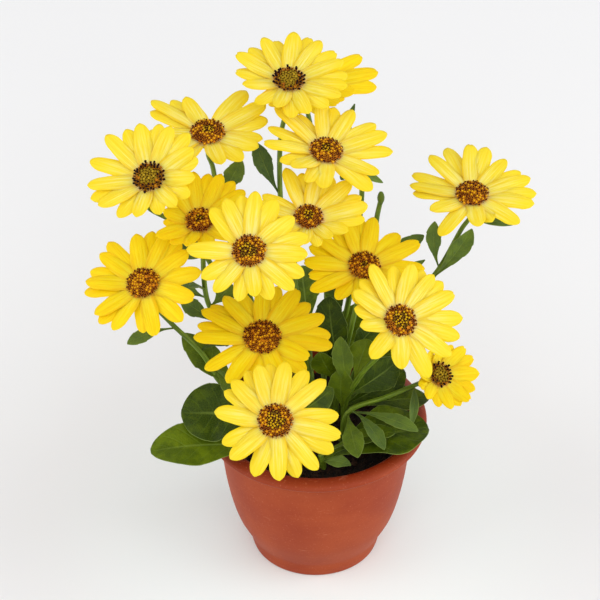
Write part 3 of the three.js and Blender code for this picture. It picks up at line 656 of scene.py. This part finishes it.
def smoothPath(knots, count):
    # Centripetal Catmull-Rom curve through the knots, at equal steps of its length
    p = np.array(knots, float)
    p = np.vstack([2 * p[0] - p[1], p, 2 * p[-1] - p[-2]])
    gaps = np.sqrt(np.linalg.norm(np.diff(p, axis=0), axis=1))[:, None]
    x0, x1, x2, x3 = p[:-3], p[1:-2], p[2:-1], p[3:]
    d0, d1, d2 = gaps[:-2], gaps[1:-1], gaps[2:]
    m1 = ((x1 - x0) / d0 - (x2 - x0) / (d0 + d1) + (x2 - x1) / d1) * d1
    m2 = ((x2 - x1) / d1 - (x3 - x1) / (d1 + d2) + (x3 - x2) / d2) * d1
    u = np.linspace(0, 1, 60, endpoint=False)[None, :, None]
    curve = (x1[:, None] + m1[:, None] * u + (3 * (x2 - x1) - 2 * m1 - m2)[:, None] * u ** 2
             + (2 * (x1 - x2) + m1 + m2)[:, None] * u ** 3).reshape(-1, 3)
    curve = np.vstack([curve, p[-2]])
    length = np.concatenate([[0], np.cumsum(np.linalg.norm(np.diff(curve, axis=0), axis=1))])
    even = np.linspace(0, length[-1], count)
    return np.stack([np.interp(even, length, curve[:, k]) for k in range(3)], -1), length[-1]


def tubeRings(path, radius, sides):  # a round, lightly ridged section carried along a path
    ahead = unit(np.gradient(path, axis=0))
    least = np.eye(3)[np.argmin(np.abs(ahead).max(0))]
    across = unit(least - ahead * (ahead @ least)[:, None])
    up = np.cross(ahead, across)
    a = bearings(sides)
    r = radius[:, None, None] * (1 + stalk["ridge"] * np.cos(a * 4))[None, :, None]
    circle = across[:, None] * np.cos(a)[None, :, None] + up[:, None] * np.sin(a)[None, :, None]
    return path[:, None] + r * circle


def leafShell(start, leaf, seed):
    # A blade over its length s and width t. Half width: a narrow petiole that swells to a round tip,
    # times a saw of forward teeth. Height: an arch, a fold along the midrib, waves at the margin,
    # grooves along the veins and a drooping tip.
    tip, wide, face = leaf[1:]
    axis = np.array(tip, float) - start
    size = np.linalg.norm(axis)
    aside = unit(np.cross(axis, face))
    up = unit(np.cross(aside, axis))
    broad, small = wide > blade["broad"], wide <= blade["small"]
    s = np.linspace(0, 1, blade["rows"])[:, None]
    t = np.sin(np.linspace(-pi / 2, pi / 2, blade["columns"]))[None]
    side = np.abs(t)
    peak, waist, blunt = blade["outlines"]["broad" if broad else "small" if small else "medium"]
    swell = np.maximum(np.sin(pi * np.clip(s, 0.001, 0.999) ** peak), 0)
    swell = swell ** (waist + (blunt - waist) * ramp(s, 0.6, 0.95))
    teeth = blade["fineTeeth" if wide > blade["large"] or small else "teeth"]
    saw = (s * (5 + 2 * hashOf(seed)) + hashOf(seed + 5) + 0.12 * np.sign(t)) % 1
    half = ((wide / 2) * (blade["petiole"] + (1 - blade["petiole"]) * swell)
            * (1 - teeth * saw * ramp(s, 0.28, 0.45) * side ** 6))
    phase = s * (1.6 + hashOf(seed + 1)) + hashOf(seed + 2)
    wave = np.sin(2 * pi * phase + np.sign(t) * 0.9) * side ** 2
    rib = bell(t * half, 0, 0.5)
    slant = s * blade["veins"] - side * blade["veinSlope"]
    veins = np.cos(2 * pi * slant) * side * (1 - side) * 0.024 * half
    w = (size * blade["arch"] * np.sin(pi * s) + blade["fold"] * side * half
         + blade["wave"] * half * wave * ramp(s, 0.2, 0.6) - 0.3 * rib * (1 - 0.7 * s) + veins
         - blade["droop"] * size * ramp(s, 0.75, 1.2) ** 2)
    sway = (hashOf(seed + 3) - 0.5) * blade["sway"] * size * np.sin(pi * s)
    sheet = start + axis * s[..., None] + aside * (half * t + sway)[..., None]
    thin = (blade["thick"] * (1 - 0.6 * t ** 2)
            + blade["rib"] * rib * (1 - s) * min(1, wide / 10))
    tone = 0.01 + 0.98 * hashOf(seed + 4)
    spot = np.stack([together(s, t, 2 * round(wide) + k + tone) for k in (0, 1)])
    upper, lower = sheet + up * w[..., None], sheet + up * (w - thin)[..., None]
    return shells(upper[None], lower[None], spot[None])


def growStalk(plan, end, thick, thinner, seed):
    # The stalk rises through its via points to its end and tapers evenly, with its leaves on it
    x, y = plan["root"]
    knots = [[x, y, soilLevel + 3], *plan["via"], *end]
    path, length = smoothPath(knots, stalk["marks"])
    risen = smoothPath(knots, max(8, int(length / stalk["step"])))[0]
    whole = np.vstack([[[x, y, stalk["foot"]], [x, y, soilLevel]], risen])
    share = np.linspace(0, 1, len(whole))
    rows = tubeRings(whole, thick - thinner * share, stalk["sides"])
    turn = np.linspace(-1, 1, stalk["sides"], endpoint=False)
    parts = [(stalkMaterial, lathe(rows, together(share[:, None], turn, hashOf(seed))))]
    for k, leaf in enumerate(plan["leaves"]):
        start = path[int(round(leaf[0] * (stalk["marks"] - 1)))]
        parts.append((leafMaterial, leafShell(start, leaf, seed * 7 + k * 3)))
    return parts


# The green cup below a bloom and its scales, for a disc of the full radius; smaller blooms shrink it
cup = {"sides": 26, "fullDisc": 7.4,
       "profile": [[1.0, -9.4], [1.9, -8.9], [3.6, -7.7], [5.0, -6.2], [5.7, -4.2], [6.0, -2.2],
                   [5.6, -1.75], [0.8, -1.75]]}
bract = {"count": 13, "rows": 10, "columns": 5, "half": 1.25, "thick": 0.35, "inner": 1.5,
         "spread": 5.0, "low": -9.1, "rise": 7.1, "crown": 0.25}


def cupScale(bloom):
    return min(1, bloom["disc"] / cup["fullDisc"])


def bractShells(bloom):
    # A ring of pointed green scales, each over its length s and width t, that spreads and rises from
    # the stalk out to below the petals, crowned across its width
    s = np.linspace(0, 1, bract["rows"])[None, :, None]
    t = np.linspace(-1, 1, bract["columns"])[None, None]
    a = (np.arange(bract["count"]) * 2 * pi / bract["count"])[:, None, None]
    r = (bract["inner"] + bract["spread"] * s ** 0.7) * cupScale(bloom)
    w = bract["low"] + bract["rise"] * ramp(s, 0.0, 1.05)
    aside = bract["half"] * np.sin(pi * (0.12 + 0.8 * s)) ** 0.8 * t
    x, y = turned(r + bract["crown"] * (1 - t ** 2), aside, a)
    thick = bract["thick"]
    upper = onBloom(bloom, x, y, w)
    lower = onBloom(bloom, x - thick * np.cos(a), y - thick * np.sin(a), w + thick * 0.6)
    spot = together(s, t, 16 + hashOf(bloom["id"] + a) * 0.9 + 0.05)
    return shells(upper, lower, np.stack([spot, spot], 1))


for label, bloom in labelled:
    end = [onBloom(bloom, 0, 0, w) for w in stalk["arrive"]]
    parts = growStalk(bloom, end, stalk["thick"], stalk["thinner"], bloom["id"] * 13)
    profile = [[r * cupScale(bloom), w] for r, w in cup["profile"]]
    parts += [(stalkMaterial, lathe(rings(bloom, profile, cup["sides"]), [0.7, 0, 0.5])),
              (leafMaterial, bractShells(bloom))]
    addPiece("stalk_" + label, "stem_" + label, "green", parts)

knobProfile = [[0.9, -2.8], [1.7, -0.6], [1.85, 1.4], [1.5, 3.4], [1.0, 4.6], [0.3, 4.9]]
for k, shoot in enumerate(shoots):
    parts = growStalk(shoot, [], shoot["thick"], stalk["shootThinner"], 300 + k * 17)
    if "knob" in shoot:  # small and dry, six-lobed, where a flower was
        r, w = columnsOf(knobProfile)
        a = bearings(12)
        knob = shoot["via"][-1] + around(r * (1 + 0.06 * np.cos(6 * a)), w, a)
        parts.append((stalkMaterial, lathe(knob, [0.2, 0, 0.3])))
    addPiece(f"shoot_{shoot['id']}_fine", f"shoot_{shoot['id']}", "green", parts)
print("stalks and leaves grown")

# Pot
potPlan = {
    "sides": 160, "drains": 5, "drainRing": 21, "drainRadius": 3.6, "drainSides": 32, "drum": (-2, 7),
    "outer": [[0.5, 0], [32.6, 0], [33.6, 0.2], [34.1, 1.2], [35, 4.5], [35.4, 7], [36, 9.4],
              [37.2, 11.8], [40.2, 17.5], [43.2, 24], [46.2, 35], [48.9, 49], [50.6, 64], [51.4, 75.5],
              [51.7, 77.4], [53.4, 78.9], [57.4, 80.5], [59.5, 81.7], [60, 83], [59.4, 84.4],
              [57.2, 85.6], [54.2, 86.5], [52.9, 86.3], [52.2, 85.2], [50.4, 78.2]],
    "inner": [[50, 76], [49, 64], [47.3, 49], [44.8, 35], [41.8, 24], [38.8, 18], [35, 12], [33.6, 5],
              [32.9, 4], [0.5, 4]]}


def rounded(points, times):  # each corner is cut at a quarter of its sides, a few times over
    p = np.array(points, float)
    for _ in range(times):
        cut = np.stack([0.75 * p[:-1] + 0.25 * p[1:], 0.25 * p[:-1] + 0.75 * p[1:]], 1).reshape(-1, 2)
        p = np.vstack([p[0], cut, p[-1]])
    return p


def potSurface(wire, spot, place):
    # Terracotta-coloured plastic: soft cloudy mottling, faint rings from the mould, pale scuffs and
    # fine speckle. The rolled rim, above 77 mm, is darkened as painted shade, and its inner part by the
    # soil darker still as painted shade, and smoother.
    x, y, z = place.parts()
    turn = y.math("ARCTAN2", x)
    cloud = wire.noise(place, 26, 4)
    grain = wire.noise(place, 1000, 2)
    ringed = wire.noise(wire.vector(x * 6, y * 6, z * 300), 1.0, 3)
    scuff = wire.noise(wire.vector(turn * 2.5, z * 320, 0.0), 1.0, 4, 0.7).between(0.62, 0.74)
    # rim and inside mask the painted shade on the rim band and, deeper, on its inner part; inside also
    # smooths it
    rim = z.between(0.0755, 0.0785)
    inside = rim * (1 - wire.vector(x, y, 0.0).length().between(0.053, 0.061))
    body = (cloud.between(0.3, 0.7) * 0.7 + (ringed - 0.5) * 0.4).mix(
        colour(150, 54, 18), colour(172, 75, 33))
    rimShaded = inside.mix((rim * 0.4).mix(body, colour(138, 48, 16)), colour(116, 32, 5))
    speckled = (grain.between(0.6, 0.74) * 0.3).mix(rimShaded, colour(206, 122, 88))
    scuffed = (scuff * 0.3).mix(speckled, colour(212, 144, 114))
    pitted = ((1 - grain.between(0.24, 0.36)) * 0.35).mix(scuffed, colour(112, 38, 18))
    rough = cloud * 0.14 + scuff * 0.12 + 0.5 - inside * 0.2
    return pitted, rough, wire.bump(grain * 0.45 + ringed * 0.55, 0.0003, 0.35)


potMaterial = newMaterial("terracottaPlastic", {"Specular IOR Level": 0.25}, potSurface)


def turnedRings(profile, sides):  # circles round the upright axis: radius and height of each
    return around(*columnsOf(profile), bearings(sides))


def drill(piece, x, y):  # cuts a drum out of the floor of the pot
    r = potPlan["drainRadius"]
    drum = lathe(turnedRings([[r, z] for z in potPlan["drum"]], potPlan["drainSides"]), [0, 0, 0])
    drumMesh = bpy.data.meshes.new("drum")
    drumMesh.from_pydata(((drum[0] + [x, y, 0]) * mm).tolist(), [], drum[1].tolist() + drum[3])
    cutter = placed("drum", drumMesh)
    cut = piece.modifiers.new("drain", "BOOLEAN")
    cut.object, cut.operation, cut.solver = cutter, "DIFFERENCE", "EXACT"
    evaluated = piece.evaluated_get(bpy.context.evaluated_depsgraph_get())
    piece.data = bpy.data.meshes.new_from_object(evaluated)
    piece.modifiers.clear()
    bpy.data.objects.remove(cutter)


wall = np.vstack([rounded(potPlan["outer"], 2), rounded(potPlan["inner"], 2)])
pot = addPiece("potFine", "pot", "pot",
               [(potMaterial, lathe(turnedRings(wall, potPlan["sides"]), [0, 0, 0]))])
for a in bearings(potPlan["drains"]):
    drill(pot, potPlan["drainRing"] * cos(a), potPlan["drainRing"] * sin(a))
print("pot turned and drilled")

# Soil; each layer of ripples has a length, a height and a number of waves
soilPlan = {"rings": 130, "sides": 200, "edge": 49.0, "highest": 1.5, "crumbs": 1500, "spread": 47.5,
            "smallest": 0.35, "grow": 1.25, "ripples": [[22, 0.5, 7], [7, 0.32, 11], [2.8, 0.2, 15]],
            "under": [[48.4, 63], [46.2, 49], [43.5, 35], [40.6, 24.2], [34.2, 11.7], [32.6, 4.4],
                      [0.5, 4.4]]}


def ripple(x, y, size, count):  # sum of random plane waves about size long, roughly -1 to 1
    angle, phase = draw.random(count) * 2 * pi, draw.random(count) * 2 * pi
    k = 2 * pi / (size * (0.6 + 0.8 * draw.random(count)))
    waves = [np.sin(x * k[i] * cos(angle[i]) + y * k[i] * sin(angle[i]) + phase[i])
             for i in range(count)]
    return sum(waves) / np.sqrt(count)


def soilSurface(wire, spot, place):
    # Near-black peat with brown clods and a few pale fibres; spot's first number lightens some crumbs
    clod = wire.noise(place, 260, 5, 0.7)
    fibre = wire.noise(place, 1300, 2)
    body = (clod.between(0.35, 0.75) * 0.8).mix(colour(16, 9, 7), colour(52, 33, 23))
    crumbs = (spot.parts()[0] * 0.7).mix(body, colour(74, 48, 32))
    pale = (fibre.between(0.68, 0.76) * 0.5).mix(crumbs, colour(112, 84, 60))
    return pale, clod * 0.1 + 0.85, wire.bump(clod * 0.6 + fibre * 0.4, 0.0012, 0.9)


soilMaterial = newMaterial("peatSoil", {"Specular IOR Level": 0.2}, soilSurface)


def soilHeight(x, y):  # the level plus ripples of three sizes, cut off at the highest
    height = soilLevel + 0.1
    for size, high, count in soilPlan["ripples"]:
        height = height + high * ripple(x, y, size, count)
    return np.minimum(height, soilLevel + soilPlan["highest"])


def bedRings():  # circles from the middle of the soil out to its edge and down inside the pot
    r = np.sqrt(np.linspace(0.0002, 1, soilPlan["rings"]))[:, None] * soilPlan["edge"]
    a = bearings(soilPlan["sides"])
    x, y = r * np.cos(a), r * np.sin(a)
    return np.concatenate([together(x, y, soilHeight(x, y)), turnedRings(soilPlan["under"], len(a))])


def crumbTufts(startState):
    # Loose crumbs, five rings of seven points each: a ball, its three lobes of no depth, stretched and
    # roughened by draws, whose size grows with the cube of a draw, standing on the soil
    n = soilPlan["crumbs"]
    r = np.sqrt(draw.random(n)) * soilPlan["spread"]
    a = draw.random(n) * 2 * pi
    x, y = r * np.cos(a), r * np.sin(a)
    size = soilPlan["smallest"] + soilPlan["grow"] * draw.random(n) ** 3
    ball = lobed([[0.35, -0.9, 0], [0.9, -0.45, 0], [1.0, 0.1, 0], [0.75, 0.6, 0], [0.25, 0.85, 0]],
                 3, 7)
    stretch = 0.7 + 0.6 * draw.random((n, 1, 1, 3))
    rough = 1 + 0.22 * (draw.random((n, *ball.shape[:2], 1)) - 0.5) * 2
    draw.bit_generator.state = startState  # the same ripples again, under the crumbs
    foot = together(x, y, soilHeight(x, y) + 0.15 * size)[:, None, None]
    crumbs = ball * stretch * rough * size[:, None, None, None] + foot
    light = np.broadcast_to((hashOf(np.arange(n)) ** 4)[:, None, None], crumbs.shape[:3])
    return tufts(crumbs, ball, together(light, 0, 0))


rippleState = draw.bit_generator.state
bed = lathe(bedRings(), [0, 0, 0])
addPiece("soilFine", "soil", "soil", [(soilMaterial, bed), (soilMaterial, crumbTufts(rippleState))])
print("soil laid")

# Floor, light and camera, in metres; each light has its place, width and power
studio = {"floor": 6.0, "world": 0.68, "aim": (0, 0, 0.12),
          "lights": {"leftLight": [(-1.8, -0.5, 0.9), 2.0, 16.0],
                     "rightLight": [(1.8, -0.4, 0.9), 2.0, 19.5],
                     "frontLight": [(0.2, -1.8, 1.9), 1.8, 17.0]},
          "lens": 261.9, "camera": (-0.00835, -1.8036, 1.5887), "tilt": 51.7}


def floorSurface(wire, spot, place):
    # Plain pale board with the faintest clouding, and painted light: a little lighter far behind, where
    # the lamps fall off, and a cool pale pool round the pot that lifts its shadow and its red bounce
    cloud = wire.noise(place, 3, 2)
    # faint clouding plus painted light that rises towards the back
    cloudAndFarLight = cloud * 0.3 + place.parts()[1].between(-0.3, 0.8) * 0.8
    board = cloudAndFarLight.mix(colour(231, 231, 232), colour(243, 243, 244))
    # painted light: a cool pale pool round the pot that lightens its shadow
    lightRoundPot = (1 - place.length().between(0.03, 0.17)).mix(board, colour(245, 255, 255))
    return lightRoundPot, cloud * 0.05 + 0.8, wire.bump(cloud, 0.0001, 0.1)


h = studio["floor"] / 2
floorMesh = bpy.data.meshes.new("floor")
floorMesh.from_pydata([(-h, -h, 0), (h, -h, 0), (h, h, 0), (-h, h, 0)], [], [(0, 1, 2, 3)])
floorMesh.materials.append(newMaterial("floorBoard", {"Specular IOR Level": 0.1}, floorSurface))
floor = placed("floor", floorMesh)

world = bpy.data.worlds.new("studio")
world.use_nodes = True
world.node_tree.nodes["Background"].inputs["Color"].default_value = (1, 1, 1, 1)
world.node_tree.nodes["Background"].inputs["Strength"].default_value = studio["world"]
bpy.context.scene.world = world


def softbox(name, place, width, power):  # a round light that faces the aim: tilted, then turned to it
    light = bpy.data.lights.new(name, "AREA")
    light.shape, light.size, light.energy = "DISK", width, power
    lamp = placed(name, light)
    lamp.location = place
    x, y, z = np.array(studio["aim"], float) - place
    lamp.rotation_euler = (np.arctan2(np.hypot(x, y), -z), 0, np.arctan2(y, x) - pi / 2)


for name, (place, width, power) in studio["lights"].items():
    softbox(name, place, width, power)

camera = bpy.data.cameras.new("camera")
camera.lens, camera.sensor_width, camera.sensor_fit = studio["lens"], 36, "HORIZONTAL"
camera.clip_end = 20
viewer = placed("camera", camera)
viewer.location = studio["camera"]
viewer.rotation_euler = (radians(studio["tilt"]), 0, 0)
bpy.context.scene.camera = viewer
bpy.context.scene.view_settings.view_transform = "Standard"
print("floor, lights and camera set")
